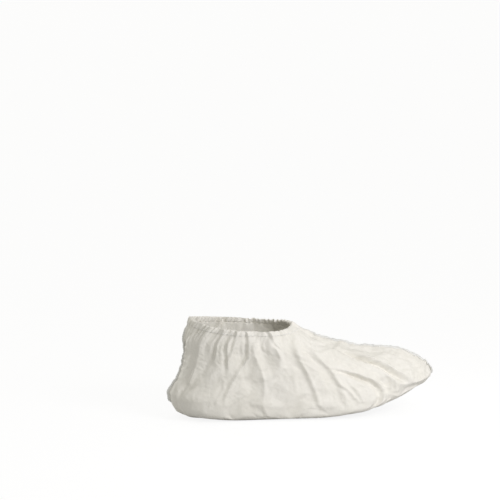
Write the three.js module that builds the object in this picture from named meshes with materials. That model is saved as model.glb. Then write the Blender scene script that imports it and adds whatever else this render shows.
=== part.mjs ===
// Disposable shoe cover of white spunbonded nonwoven, in the shape it has over a shoe.
// One sheet is folded along the sole and closed by two overlocked seams, one over the
// instep and toe and one up the heel. The opening is gathered by an elastic hem.
// Millimetres, +X to the toe, +Z up, origin on the floor under the middle of the cover.
import * as THREE from "three";

// Driving dimensions
const WALL = 1.6; // thickness of the sheet
const GAP = 0.4; // clearance between a seam and the sheet it stands on
const BODY_TOP_LEVEL = 0.9472; // where the sheet ends under the hem
const HEM_FOOT_LEVEL = 0.95; // where the elastic hem takes over from the sheet
const HEM_BULGE = 1.1; // how far the hem stands out from the sheet on either face
const SEAM_THICKNESS = 1.8; // two layers of sheet and the overlock thread
const SPRING = { startX: 10, endX: 150, rise: 27, power: 1.7 }; // lift of the toe by the shoe inside

// Rows of numbers under named columns.
function table(columns, rows) {
  return rows.map((row) => Object.fromEntries(row.map((value, place) => [columns[place], value])));
}

// Sections of the cover from the tread on the floor to the elastic hem. A section is a closed loop
// that runs from its back end to its front end, at sideZ in between, before the toe is lifted.
// The rounds are the shares of its length that its rounded ends take.
const SECTIONS = table(
  ["level", "backX", "backZ", "frontX", "frontZ", "sideZ", "heelHalf", "ballHalf", "heelRound", "toeRound"],
  [
    [0.0, -118, 0, 124, 0, 0, 33, 38, 0.2, 0.42],
    [0.07, -141, 5, 144, 3, 2.5, 40, 48, 0.19, 0.42],
    [0.22, -156, 27, 155, 13, 15, 44, 52, 0.18, 0.42],
    [0.38, -147, 46, 144, 31, 35, 44, 49, 0.2, 0.44],
    [0.54, -141, 62, 111, 56.5, 54, 45, 46, 0.22, 0.46],
    [0.7, -139, 78, 62, 74.5, 72, 46, 46, 0.28, 0.48],
    [0.85, -140, 97, 20, 91, 90, 49, 49, 0.38, 0.49],
    [1.0, -132, 118, -11, 110, 107.5, 52, 52, 0.5, 0.5],
  ]
);
const BALL = { start: 0.2, end: 0.68 }; // shares of a section's length where it widens to the ball
const SIDE_DIP_POWER = 0.75; // how squarely the sides of a section drop to sideZ
const FAN = 0.11; // how far the columns fan out backwards between the hem and the sole
const SPINE_SHRINK = 0.8; // length of the fold under the sole against the tread

// Columns of the mesh round the cover and levels of its rows. -1 is the fold along the sole and 0
// the edge of the tread.
const COLUMNS = 120;
const SOLE_LEVELS = [-1, -0.5];
const LOW_LEVELS = [0, 0.035, 0.07, 0.12, 0.18, 0.25, 0.33];
const HIGH_LEVELS = [0.41, 0.49, 0.57, 0.65, 0.73, 0.8, 0.86, 0.905, BODY_TOP_LEVEL];
const WALL_LEVELS = [...LOW_LEVELS, ...HIGH_LEVELS];

// Gathers drawn up by the elastic: their height and reach below the hem, and how much these vary
const GATHERS = { perSide: 15, height: 1.7, heightSwing: 0.35, reach: 0.17, reachSwing: 0.08 };

// Drag folds of the sheet. Each runs from a place high on one side to a place low on it: share is
// 0 at the instep seam and 1 at the heel seam, bow bends it backwards, the widths are those of its
// two flanks, and depth is how far it stands in (negative) or out.
const FOLD_COLUMNS = [
  "name", "fromShare", "fromLevel", "toShare", "toLevel", "bow", "backWidth", "frontWidth", "depth",
];
const NEAR_FOLDS = table(FOLD_COLUMNS, [
  ["instep drag, front", 0.1, 1.04, 0.315, 0.24, 0.07, 9, 7, -5],
  ["instep drag, back", 0.25, 1.0, 0.39, 0.12, 0.08, 9, 7, -5],
  ["ball crease", 0.285, 0.52, 0.265, 0.22, 0, 7, 7, -2.2],
  ["toe drag, high", 0.118, 0.7, 0.118, 0.27, 0, 9, 7, -4.5],
  ["toe drag, low", 0.25, 0.56, 0.19, 0.14, 0.01, 9, 7, -4],
  ["toe tuck", 0.15, 0.42, 0.147, 0.06, 0, 9, 7, -6],
  ["front panel", 0.38, 1.1, 0.53, 0.48, 0.01, 9, 11, -4],
  ["front panel edge", 0.49, 0.92, 0.565, 0.42, 0.01, 7, 7, 3],
  ["ankle hollow", 0.555, 0.8, 0.585, 0.1, 0.05, 12, 10, -4.5],
  ["ankle pinch", 0.525, 1.1, 0.64, 0.56, -0.02, 7, 7, -3.5],
  ["ankle ridge", 0.545, 0.82, 0.715, 0.2, 0.03, 7, 7, 3.5],
  ["heel pinch", 0.69, 1.1, 0.79, 0.58, 0, 7, 7, -3],
  ["heel hollow", 0.74, 0.9, 0.89, 0.2, 0, 11, 9, -4.5],
  ["heel ridge", 0.79, 1.05, 0.89, 0.36, 0.02, 7, 7, 3],
]);
const FAR_FOLDS = table(FOLD_COLUMNS, [
  ["instep drag, front", 0.12, 1.04, 0.3, 0.24, 0.06, 9, 7, -4.5],
  ["instep drag, back", 0.28, 1.0, 0.41, 0.12, 0.07, 9, 7, -4.5],
  ["toe drag", 0.13, 0.64, 0.14, 0.14, 0.01, 9, 7, -4.5],
  ["front panel", 0.43, 1.1, 0.53, 0.36, 0, 9, 10, -3.5],
  ["ankle hollow", 0.58, 0.86, 0.63, 0.1, 0.03, 11, 11, -4.5],
  ["heel pinch", 0.7, 1.1, 0.78, 0.5, 0, 7, 7, -3],
  ["heel hollow", 0.8, 0.86, 0.9, 0.2, 0, 10, 9, -4],
]);
const FOLD_FADE = 0.3; // share of a fold's run over which it dies away at each end
const FOLD_FREE_LEVEL = 0.12; // the sheet is drawn flat under the sole and folds freely above this
const SEAM_CLEAR_SHARE = 0.05; // folds die away towards the two seams

// Overlocked seams, standing as ribs on the middle line from under the hem to a loose end
const SEAMS = table(
  ["name", "share", "fromLevel", "toLevel", "hemHeight", "endHeight", "steps"],
  [
    ["instep_seam", 0, 0.94, 0.21, 2.4, 4.6, 28],
    ["heel_seam", 1, 0.94, 0.16, 2.6, 4.0, 22],
  ]
);

const HALF_COLUMNS = COLUMNS / 2;
const SECTION_STEPS = 720; // steps along one side of a section when its length is measured
const LEVEL_STEP = 0.01; // steps for the slopes of the unfolded wall
const SHARE_STEP = 0.5 / HALF_COLUMNS;

const sheetMaterial = new THREE.MeshStandardMaterial({ color: 0xefece3, roughness: 0.75, metalness: 0 });
const hemMaterial = new THREE.MeshStandardMaterial({ color: 0xf3f0e8, roughness: 0.8, metalness: 0 });
const seamMaterial = new THREE.MeshStandardMaterial({ color: 0xdfe0da, roughness: 0.85, metalness: 0 });

function smoothStep(low, high, value) {
  return THREE.MathUtils.smoothstep(value, low, high);
}

function toeSpring(x) {
  const share = Math.max(0, (x - SPRING.startX) / (SPRING.endX - SPRING.startX));
  return SPRING.rise * share ** SPRING.power;
}

// Slope of one column of the section table at a row, from its two neighbours.
function tableSlope(column, row) {
  const before = SECTIONS[Math.max(0, row - 1)];
  const here = SECTIONS[row];
  const after = SECTIONS[Math.min(SECTIONS.length - 1, row + 1)];
  const stepIn = here.level - before.level;
  const stepOut = after.level - here.level;
  if (stepIn === 0) return (after[column] - here[column]) / stepOut;
  if (stepOut === 0) return (here[column] - before[column]) / stepIn;
  const slopeIn = (here[column] - before[column]) / stepIn;
  const slopeOut = (after[column] - here[column]) / stepOut;
  return (slopeIn * stepOut + slopeOut * stepIn) / (stepIn + stepOut);
}

// The section at any level, on a smooth cubic through the rows of the table.
function sectionAt(level) {
  let row = 0;
  while (row < SECTIONS.length - 2 && level >= SECTIONS[row + 1].level) row += 1;
  const low = SECTIONS[row];
  const high = SECTIONS[row + 1];
  const span = high.level - low.level;
  const u = (level - low.level) / span;
  const section = {};
  for (const column of Object.keys(low)) {
    section[column] =
      (2 * u ** 3 - 3 * u ** 2 + 1) * low[column] +
      (u ** 3 - 2 * u ** 2 + u) * span * tableSlope(column, row) +
      (3 * u ** 2 - 2 * u ** 3) * high[column] +
      (u ** 3 - u ** 2) * span * tableSlope(column, row + 1);
  }
  return section;
}

// Quarter-ellipse rounding of a section's end: 0 at the very end, 1 from where the rounding stops.
function endRounding(distance, round) {
  const share = Math.min(1, distance / round);
  return Math.sqrt(Math.max(0, 1 - (1 - share) ** 2));
}

// Near side of a section, from its front end to its back end.
function sideCurve(section) {
  const { lerp } = THREE.MathUtils;
  const dip = (section.backZ + section.frontZ) / 2 - section.sideZ;
  const points = [];
  for (let step = 0; step <= SECTION_STEPS; step += 1) {
    const along = (1 + Math.cos((Math.PI * step) / SECTION_STEPS)) / 2;
    const rounding = endRounding(along, section.heelRound) * endRounding(1 - along, section.toeRound);
    const half = lerp(section.heelHalf, section.ballHalf, smoothStep(BALL.start, BALL.end, along));
    const drop = dip * Math.max(0, 1 - (2 * along - 1) ** 2) ** SIDE_DIP_POWER;
    const x = lerp(section.backX, section.frontX, along);
    const z = lerp(section.backZ, section.frontZ, along) - drop;
    points.push(new THREE.Vector3(x, -half * rounding, z));
  }
  return points;
}

// The near side at a level with its running length, kept for the levels already asked for.
const measuredSides = new Map();
function measuredSide(level) {
  if (!measuredSides.has(level)) {
    const points = sideCurve(sectionAt(level));
    const lengths = [0];
    for (let i = 1; i < points.length; i += 1) {
      lengths.push(lengths[i - 1] + points[i].distanceTo(points[i - 1]));
    }
    measuredSides.set(level, { points, lengths, length: lengths.at(-1) });
  }
  return measuredSides.get(level);
}

// Point of the unfolded near side at a share of the way from the instep to the heel.
function nearPoint(share, level) {
  const side = measuredSide(level);
  const fanned = share + FAN * Math.sin(Math.PI * share) * (1 - level);
  const wanted = THREE.MathUtils.clamp(fanned, 0, 1) * side.length;
  let low = 0;
  let high = side.points.length - 1;
  while (high - low > 1) {
    const middle = (low + high) >> 1;
    if (side.lengths[middle] <= wanted) low = middle;
    else high = middle;
  }
  const between = (wanted - side.lengths[low]) / (side.lengths[high] - side.lengths[low]);
  const point = side.points[low].clone().lerp(side.points[high], between);
  point.z += toeSpring(point.x);
  return point;
}

// Outward direction of the unfolded wall.
function wallNormal(share, level) {
  const up = nearPoint(share, Math.min(1, level + LEVEL_STEP));
  up.sub(nearPoint(share, Math.max(0, level - LEVEL_STEP)));
  const along = nearPoint(Math.min(1, share + SHARE_STEP), level);
  along.sub(nearPoint(Math.max(0, share - SHARE_STEP), level));
  if (share === 0) along.set(0, -1, 0);
  if (share === 1) along.set(0, 1, 0);
  return up.cross(along).normalize();
}

function gatherHeight(share, level) {
  const reach = GATHERS.reach + GATHERS.reachSwing * Math.sin(2 * Math.PI * (4.3 * share + 0.15));
  const swing = 1 + GATHERS.heightSwing * Math.sin(2 * Math.PI * (2.7 * share + 0.4));
  const fade = smoothStep(1 - 2 * reach, 1, level);
  return GATHERS.height * swing * fade * Math.cos(2 * Math.PI * GATHERS.perSide * share);
}

function foldHeight(fold, share, level) {
  const along = (level - fold.toLevel) / (fold.fromLevel - fold.toLevel);
  if (along <= 0 || along >= 1) return 0;
  const straight = THREE.MathUtils.lerp(fold.toShare, fold.fromShare, along);
  const line = straight + fold.bow * 4 * along * (1 - along);
  const offset = (share - line) * measuredSide(level).length;
  const width = offset < 0 ? fold.frontWidth : fold.backWidth;
  const ends = smoothStep(0, FOLD_FADE, along) * smoothStep(0, FOLD_FADE, 1 - along);
  return fold.depth * ends * Math.exp(-((offset / width) ** 2));
}

// How far the folded sheet stands out from the unfolded wall.
function standOut(share, level, folds) {
  const folded = folds.reduce((sum, fold) => sum + foldHeight(fold, share, level), 0);
  const clearOfSeams = smoothStep(0, SEAM_CLEAR_SHARE, Math.min(share, 1 - share));
  const free = smoothStep(0, FOLD_FREE_LEVEL, level);
  return free * (folded * clearOfSeams + gatherHeight(share, level));
}

// Columns go from the instep back along the near side and forward again along the far side.
function columnPlace(column) {
  if (column <= HALF_COLUMNS) return { share: column / HALF_COLUMNS, mirror: 1, folds: NEAR_FOLDS };
  return { share: (COLUMNS - column) / HALF_COLUMNS, mirror: -1, folds: FAR_FOLDS };
}

// Point of the folded sheet, moved out from its outer face by offset.
function sheetPoint(column, level, offset) {
  const { share, mirror, folds } = columnPlace(column);
  const point = nearPoint(share, level);
  point.addScaledVector(wallNormal(share, level), standOut(share, level, folds) + offset);
  point.y *= mirror;
  return point;
}

// Point under the foot, between the edge of the tread and the fold along its middle.
function solePoint(column, level, lift) {
  const { share, mirror } = columnPlace(column);
  const edge = nearPoint(share, 0);
  const x = edge.x * THREE.MathUtils.lerp(1, SPINE_SHRINK, -level);
  const y = edge.y * (1 + level) * mirror;
  return new THREE.Vector3(x, y, toeSpring(x) + lift);
}

function loopOf(pointAt) {
  return Array.from({ length: COLUMNS }, (_, column) => pointAt(column));
}

// Closed mesh from loops of points, each joined to the next all round. A first or last loop whose
// two sides meet along a line closes the mesh there.
function loopsGeometry(loops) {
  const positions = loops.flat().flatMap((point) => point.toArray());
  const index = [];
  for (let row = 0; row < loops.length - 1; row += 1) {
    for (let column = 0; column < COLUMNS; column += 1) {
      const a = row * COLUMNS + column;
      const b = row * COLUMNS + ((column + 1) % COLUMNS);
      const c = a + COLUMNS;
      const d = b + COLUMNS;
      index.push(a, d, b, a, c, d);
    }
  }
  const geometry = new THREE.BufferGeometry();
  geometry.setAttribute("position", new THREE.Float32BufferAttribute(positions, 3));
  geometry.setIndex(index);
  geometry.computeVertexNormals();
  return geometry;
}

// One face of the sheet: out from the fold along the sole and up to the hem.
function sheetFace(lift, offset) {
  const sole = SOLE_LEVELS.map((level) => loopOf((column) => solePoint(column, level, lift)));
  const walls = WALL_LEVELS.map((level) => loopOf((column) => sheetPoint(column, level, offset)));
  return [...sole, ...walls];
}

function coverBody() {
  const outside = sheetFace(0, 0);
  const inside = sheetFace(WALL, -WALL);
  const mesh = new THREE.Mesh(loopsGeometry([...outside, ...inside.reverse()]), sheetMaterial);
  mesh.name = "cover_body";
  return mesh;
}

// The elastic hem: the top of the sheet turned over the elastic, thicker than the sheet.
function elasticHem() {
  const shoulder = (1 - HEM_FOOT_LEVEL) / 4;
  const outline = table(
    ["level", "offset"],
    [
      [HEM_FOOT_LEVEL, 0],
      [HEM_FOOT_LEVEL + shoulder, HEM_BULGE],
      [1 - shoulder, HEM_BULGE],
      [1, 0],
      [1, -WALL],
      [1 - shoulder, -WALL - HEM_BULGE],
      [HEM_FOOT_LEVEL + shoulder, -WALL - HEM_BULGE],
      [HEM_FOOT_LEVEL, -WALL],
    ]
  );
  const loops = outline.map(({ level, offset }) => loopOf((column) => sheetPoint(column, level, offset)));
  const mesh = new THREE.Mesh(loopsGeometry([...loops, loops[0]]), hemMaterial);
  mesh.name = "elastic_hem";
  return mesh;
}

// A seam's outline lies in the middle plane and follows the sheet, and its thickness goes across.
function seamRib({ name, share, fromLevel, toLevel, hemHeight, endHeight, steps }) {
  const { lerp } = THREE.MathUtils;
  const column = share * HALF_COLUMNS;
  const foot = [];
  const crest = [];
  for (let step = 0; step <= steps; step += 1) {
    const level = lerp(fromLevel, toLevel, step / steps);
    const height = lerp(hemHeight, endHeight, step / steps);
    const inner = sheetPoint(column, level, GAP);
    const outer = sheetPoint(column, level, GAP + height);
    foot.push(new THREE.Vector2(inner.x, inner.z));
    crest.push(new THREE.Vector2(outer.x, outer.z));
  }
  const outline = new THREE.Shape([...foot, ...crest.reverse()]);
  const rib = new THREE.ExtrudeGeometry(outline, { depth: SEAM_THICKNESS, bevelEnabled: false });
  const mesh = new THREE.Mesh(rib, seamMaterial);
  mesh.name = name;
  mesh.rotation.x = Math.PI / 2;
  mesh.position.y = SEAM_THICKNESS / 2;
  return mesh;
}

const cover = new THREE.Group();
cover.add(coverBody());
cover.add(elasticHem());
for (const seam of SEAMS) cover.add(seamRib(seam));

export default cover;
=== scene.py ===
"""Dresses the shoe cover: the folded nonwoven sheet, its elastic hem and its two overlocked seams."""

import math

import bmesh
import bpy
import numpy as np
from mathutils import Matrix, Vector, noise


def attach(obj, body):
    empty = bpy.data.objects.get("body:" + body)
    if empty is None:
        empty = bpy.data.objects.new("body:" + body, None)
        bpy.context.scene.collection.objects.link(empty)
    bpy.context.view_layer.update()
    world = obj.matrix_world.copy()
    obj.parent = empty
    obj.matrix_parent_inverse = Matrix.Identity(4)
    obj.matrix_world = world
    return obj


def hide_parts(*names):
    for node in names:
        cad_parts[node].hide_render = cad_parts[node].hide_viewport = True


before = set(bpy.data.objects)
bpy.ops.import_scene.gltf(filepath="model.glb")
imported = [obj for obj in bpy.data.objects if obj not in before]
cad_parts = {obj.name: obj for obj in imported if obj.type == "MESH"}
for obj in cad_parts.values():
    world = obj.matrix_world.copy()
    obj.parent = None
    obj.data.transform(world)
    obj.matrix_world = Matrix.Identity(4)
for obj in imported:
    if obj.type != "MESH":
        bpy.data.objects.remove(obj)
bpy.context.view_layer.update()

MM = 0.001  # the cover is worked out in millimetres and its meshes are in metres

# The cover's form, as in its construction: sections from the tread on the floor to the hem.
SECTION_COLUMNS = (
    "level", "back_x", "back_z", "front_x", "front_z", "side_z",
    "heel_half", "ball_half", "heel_round", "toe_round",
)
SECTIONS = (
    (0.00, -118, 0, 124, 0.0, 0.0, 33, 38, 0.20, 0.42),
    (0.07, -141, 5, 144, 3.0, 2.5, 40, 48, 0.19, 0.42),
    (0.22, -156, 27, 155, 13.0, 15.0, 44, 52, 0.18, 0.42),
    (0.38, -147, 46, 144, 31.0, 35.0, 44, 49, 0.20, 0.44),
    (0.54, -141, 62, 111, 56.5, 54.0, 45, 46, 0.22, 0.46),
    (0.70, -139, 78, 62, 74.5, 72.0, 46, 46, 0.28, 0.48),
    (0.85, -140, 97, 20, 91.0, 90.0, 49, 49, 0.38, 0.49),
    (1.00, -132, 118, -11, 110.0, 107.5, 52, 52, 0.50, 0.50),
)
BALL_START, BALL_END = 0.2, 0.68  # where a section's width turns from the heel's to the ball's
SIDE_DIP_POWER = 0.75  # under 1, a section dips soon after its ends
FAN = 0.11  # how far the columns spread to the heel on their way down, as a share
SPINE_SHRINK = 0.8  # length of the fold along the sole's middle, as a share of the tread's
SPRING_START, SPRING_END, SPRING_RISE, SPRING_POWER = 10, 150, 27, 1.7  # lift of the toe
SECTION_STEPS = 1200  # a section's length is measured in so many steps
WALL_HEIGHT = 112  # length of the wall from the tread to the hem, on the sides

# The sheet's mesh: its rows and columns, and its sizes in millimetres
HALF_COLUMNS = 280
ROWS = 121
SOLE_ROWS = 8
INNER_STEP = 2  # the hidden inner face has every second row and column
BODY_TOP_LEVEL = 0.953  # inside the hem
INNER_PASSES = 5  # softening of the inner face
SHEET_THICKNESS = 0.9
MERGE_DISTANCE = 0.01

# Folds. share is 0 at the instep seam and 1 at the heel seam, and a fold's path is that of its crest.
# Behind the crest a hollow flank falls by rise and depth to a valley; in front the sheet slopes off.
FOLD_COLUMNS = (
    "name", "from_share", "from_level", "to_share", "to_level", "bow",
    "front", "flank", "back", "rise", "depth", "lip",
)
FOLDS = (
    ("instep drag, front", 0.023, 1.06, 0.280, 0.16, 0.127, 18, 6.0, 12, 0.9, 1.3, 0.6),
    ("instep drag, back", 0.101, 1.04, 0.319, 0.10, 0.174, 16, 6.0, 14, 0.9, 1.4, 0.6),
    ("ball crease, back", 0.318, 0.46, 0.255, 0.20, 0.000, 6, 2.4, 7, 0.8, 1.2, 0.4),
    ("ball crease, front", 0.285, 0.44, 0.243, 0.20, 0.000, 5, 2.2, 6, 0.55, 0.85, 0.3),
    ("toe drag, high", 0.076, 0.76, 0.087, 0.22, 0.034, 13, 5.0, 6.5, 2.0, 6.0, 0.9),
    ("toe drag, low", 0.279, 0.60, 0.206, 0.08, -0.053, 14, 5.0, 7.0, 2.0, 4.8, 0.7),
    ("toe tuck", 0.145, 0.46, 0.128, 0.02, 0.006, 10, 9.0, 9, 1.2, 4.5, 0.2),
    ("front panel", 0.366, 1.15, 0.601, 0.44, -0.084, 12, 16.0, 12, 1.6, 2.8, 0.5),
    ("front pleat", 0.350, 1.15, 0.372, 0.76, 0.000, 4, 2.6, 4, 0.7, 1.1, 0.3),
    ("ankle panel", 0.436, 1.02, 0.509, 0.02, 0.102, 12, 17.0, 14, 1.3, 2.0, 0.5),
    ("ball hollow", 0.590, 0.54, 0.400, 0.22, 0.000, 18, 26.0, 40, 0.3, 0.9, 0.0),
    ("ankle pinch", 0.538, 1.15, 0.693, 0.58, -0.088, 8, 2.6, 5, 0.9, 1.5, 0.4),
    ("ankle gather, front", 0.572, 1.15, 0.752, 0.62, -0.057, 7, 2.4, 5, 1.1, 1.4, 0.4),
    ("ankle gather, back", 0.527, 1.15, 0.733, 0.50, 0.028, 7, 3.6, 5, 1.2, 1.5, 0.4),
    ("ankle drag", 0.431, 0.90, 0.683, 0.16, 0.128, 10, 6.0, 9, 1.3, 0.6, 0.8),
    ("ankle streak", 0.745, 0.52, 0.735, 0.16, 0.000, 6, 3.6, 7, 0.4, 0.5, 0.3),
    ("heel gather", 0.627, 1.15, 0.801, 0.60, -0.012, 7, 4.0, 6, 1.3, 1.5, 0.4),
    ("heel hollow", 0.669, 0.86, 0.906, 0.12, 0.018, 16, 15.0, 9, 0.6, 1.7, 0.0),
    ("heel drag", 0.687, 1.12, 0.889, 0.24, 0.070, 6, 6.0, 9, 1.5, 1.1, 0.7),
    ("heel turn", 0.731, 1.10, 1.015, 0.56, 0.040, 10, 10.0, 6, 0.6, 0.8, 0.3),
    ("heel corner tuck", 0.935, 0.36, 0.900, 0.00, 0.000, 6, 6.0, 8, 1.0, 2.0, 0.2),
)
# The far side has the same folds with chance differences: spreads in share, level and strength.
FAR_SHARE_SPREAD, FAR_LEVEL_SPREAD, FAR_STRENGTH_SPREAD = 0.035, 0.04, 0.25
FLANK_POWER = 1.3  # over 1, a flank is hollow
LIP_WIDTH = 3.2  # each side of the crest
FOLD_FADE = 0.26  # share of a fold's path over which each end fades
FOLD_FREE_LEVEL = 0.1  # all folds fade out from here down to the tread
SEAM_CLEAR_SHARE = 0.02  # folds and creases fade out from here to a seam
SOFTEN_PASSES = 1

# The lower edge of the toe box, where the sheet turns under
TOE_EDGE_SHARES, TOE_EDGE_LEVELS = (0.0, 0.065, 0.12, 0.16), (0.195, 0.24, 0.295, 0.32)
TOE_EDGE_FADE = 0.03  # share over which the edge ends towards the heel
TOE_EDGE_WIDTH, TOE_EDGE_RISE = 12, 1.6
TOE_UNDER_WIDTH, TOE_UNDER_DEPTH = 9, 3.4

# The drag of the sheet leans to the heel on its way down from the elastic, in radians at these shares.
DRAG_SHARES = (0.0, 0.06, 0.16, 0.30, 0.55, 0.85, 1.0)
DRAG_LEANS = (0.0, 0.2, 0.5, 0.75, 0.8, 0.65, 0.0)

# Puffs that the elastic draws up along the hem, gathers that run down from it, and creases all over.
# Each range is drawn from at random.
PUFFS_PER_SIDE, PUFF_JITTER, PUFF_POWER = 26, 0.28, 0.9
PUFF_DEPTH, PUFF_REACH = (1.8, 3.2), (9, 22)
DRAG_FADE_POWER = 1.5  # how suddenly puffs and gathers end at their reach
GATHER_COLUMNS = ("name", "per_side", "depth", "half_width", "reach", "lean_spread")
GATHERS = (
    ("hem pleats", 44, (0.4, 1.2), (1.3, 2.3), (6, 12), 0.12),
    ("gathers", 26, (1.0, 2.6), (2.0, 3.4), (13, 28), 0.14),
    ("long gathers", 9, (0.9, 1.8), (3.0, 5.0), (28, 48), 0.15),
)
GATHER_JITTER = 0.35  # of the space between two gathers
GATHER_SPREAD = 0.6  # how much wider a gather is at the end of its reach
CREASE_COLUMNS = ("name", "per_side", "length", "half_width", "height", "lean_spread")
CREASES = (
    ("facets", 60, (18, 55), (6, 14), (0.35, 1.1), 0.40),
    ("creases", 210, (8, 30), (1.8, 4.4), (0.12, 0.42), 0.60),
)
CREASE_SHARES, CREASE_LEVELS = (0.03, 0.97), (0.12, 0.97)
# The sheet is more crinkled at the toe and the heel than between them.
CRINKLE_SHARES = (0.0, 0.14, 0.26, 0.40, 0.60, 0.72, 1.0)
CRINKLE_AMOUNTS = (1.3, 1.5, 0.9, 0.45, 0.55, 0.85, 0.85)
# Wrinkles are ridges of noise, with heights at those shares. They start and end between these levels.
WRINKLE_SIZE = 6.2
WRINKLE_HEIGHTS = (1.35, 1.45, 0.8, 0.3, 0.3, 0.42, 0.42)
WRINKLE_FRACTAL = (1.0, 2.0, 2, 0.9, 1.0)  # dimension, lacunarity, octaves, offset and gain
WRINKLE_WARP_SIZE, WRINKLE_WARP = 3.0, 0.6  # in sizes of a wrinkle
WRINKLE_FOOT, WRINKLE_TOP = (0.05, 0.3), (0.90, 0.945)
# The sheet is pinched up along the instep seam, by so much at these levels.
PINCH_LEVELS = (0.20, 0.30, 0.40, 0.50, 0.60, 0.75, 0.88, 0.96)
PINCH_HEIGHTS = (1.6, 4.4, 5.4, 4.0, 2.0, 2.6, 2.4, 0.0)
PINCH_REACH, PINCH_POWER = 14, 1.4
# Puckers along the seams set in and die out at these distances from them. Their waves have a
# length, a strength and a start.
PUCKER_START, PUCKER_REACH = 3, 7
PUCKER_HEIGHT = 0.55
PUCKER_WAVES = ((9.0, 1.0, 0.0), (5.6, 0.7, 1.3), (14.5, 0.8, 2.1))
NEAR_SEED, FAR_SEED, WRINKLE_SEED = 11, 23, 3

# Settling of the sheet by cloth simulation
SETTLE_FRAMES = 18
SETTLE_STEP = 2  # every second row and column of the sheet's mesh is simulated
SPARE_CLOTH = 0.013  # share that the sheet grows by
CLOTH_SETTINGS = {
    "quality": 6,
    "mass": 0.02,
    "tension_stiffness": 25,
    "compression_stiffness": 25,
    "shear_stiffness": 12,
    "bending_stiffness": 40,
    "pin_stiffness": 0.6,
    "shrink_min": -SPARE_CLOTH,
}
SETTLE_CAP = 2.2  # furthest that a point may move
HOLD_LEAST, HOLD_MOST = 0.10, 0.45  # hold between the patches and in their middles
HELD_TREAD, HELD_TREAD_PRESSED = 0.05, 0.16  # levels that the tread is held to, and more where pressed
HELD_HEM = (0.86, 0.95)  # levels over which the hem's hold sets in
HOLD_PATCHES = 70  # places where the sheet is pressed from inside
HOLD_PATCH_SIZE = (10, 26)
HOLD_SEED = 7

# Hem
HEM_FOOT_LEVEL = 0.948  # of its lower edge
HEM_HALF_COLUMNS = 420
HEM_PUFF, HEM_PUFF_POWER = 0.45, 0.6  # a power under 1 fills it out soon above its edge
HEM_FOOT_OFFSET = 0.15
HEM_ROWS = 8

# Seams: two raw edges that lie over to one side, near or far, or stand up from the sheet.
# Stand is the share of standing up at even steps from the hem to the loose end.
SEAM_COLUMNS = ("name", "share", "lies", "from_level", "to_level", "hem_width", "end_width", "stand")
SEAMS = (
    ("instep_seam", 0, "near", 0.95, 0.21, 3.4, 5.2, (0.0, 0.0, 0.0, 0.0, 0.0, 0.1, 0.8)),
    ("heel_seam", 1, "far", 0.95, 0.16, 2.4, 3.4, (0.3, 0.6, 0.5, 0.9)),
)
SEAM_STAND_LEAN = 0.3  # in radians
SEAM_REACH_COLUMNS = 24  # columns of the sheet that a lying seam can reach over
# A seam's section: shares of its width out from the stitching, and millimetres up from the sheet
SEAM_SECTION = (
    (-0.15, -0.5), (0.0, 0.7), (0.3, 1.0), (0.7, 1.0), (0.92, 0.9),
    (1.0, 0.6), (1.0, 0.1), (0.92, -0.4),
)
SEAM_EDGE_LIFT, SEAM_HALF_EDGE = 0.35, 0.6  # middle of the raw edge over the sheet, and half its height
SEAM_TIP_ROWS, SEAM_TIP_LEAST = 2.5, 0.05  # the loose end is rounded off over so many rows
# Waves along a seam, of a strength, an angle from end to end and a start: in its width and its lift
SEAM_WIDTH_WAVES = ((0.06, 37, 0), (0.04, 83, 1))
SEAM_RIPPLE, SEAM_RIPPLE_WAVES = 0.12, ((0.16, 29, 2), (0.12, 71, 0))

# Threads, in metres. A stitch starts and bends at points along its row, across it and out from it.
THREAD_POINTS = ("Start", "Start Handle", "End Handle", "End")
THREAD_STEPS, THREAD_SIDES = 7, 5
STITCH_SCALES, STITCH_SEED = (0.9, 1.12), 5  # stitches differ a little in size
OVERLOCK_PITCH = 0.0026
OVERLOCK_THREAD = 0.00024
OVERLOCK_CLEARANCE = 0.6  # of the thread's radius, over the seam's edge
OVERLOCK_REACH = SEAM_HALF_EDGE * MM + OVERLOCK_THREAD * OVERLOCK_CLEARANCE
OVERLOCK_BULGE = 1.8  # how much wider a stitch is at its bend than at its ends
OVERLOCK_START = (-0.0009, OVERLOCK_REACH, -0.0026)
OVERLOCK_HANDLE = (-0.0003, OVERLOCK_REACH * OVERLOCK_BULGE, 0.0012)
HEM_STITCH_PITCH = 0.0036
HEM_THREAD = 0.00022
HEM_STITCH_START = (-0.00135, 0, -0.0003)
HEM_STITCH_HANDLE = (-0.00081, 0, 0.0003)

# The bonded web's look: how many features to a metre, and how far its facets tilt
WEB_INPUTS = (
    ("Fibre Scale", 520.0), ("Facet Scale", 85.0), ("Cloud Scale", 38.0), ("Facet Tilt", 0.16),
)
WARP_SCALE, WARP_REACH = 45, 0.014
FIBRE_DETAIL, FIBRE_OFFSET, FIBRE_DISTORTION = 3, 0.9, 1.6
FIBRE_TOP = 1.6  # where a fibre is at its full strength
FIBRE_TONE, CLOUD_DETAIL = 0.45, 3
TONE_LOW, TONE_HIGH = 0.35, 1.0
FIBRE_RELIEF = 0.0003
ROUGHNESS_SPREAD = 0.1
SHEEN, SHEEN_ROUGHNESS = 0.12, 0.4
SPECULAR = 0.35
# Finishes: name, pale tone, deep tone, roughness and, for those of the web, strength of the relief
SHEET_FINISH = ("white_nonwoven", (0.87, 0.85, 0.80), (0.80, 0.78, 0.715), 0.62, 0.35)
HEM_FINISH = ("gathered_nonwoven", (0.88, 0.86, 0.81), (0.81, 0.79, 0.73), 0.66, 0.3)
EDGE_FINISH = ("raw_edge", (0.85, 0.85, 0.825), (0.79, 0.795, 0.77), 0.75, 0.5)
THREAD_FINISH = ("white_thread", (0.88, 0.88, 0.87), (0.78, 0.785, 0.775), 0.6)
PLY_SCALE, PLY_DETAIL = 2600, 2
PLY_STRENGTH, PLY_RELIEF = 0.5, 0.0001

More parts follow.
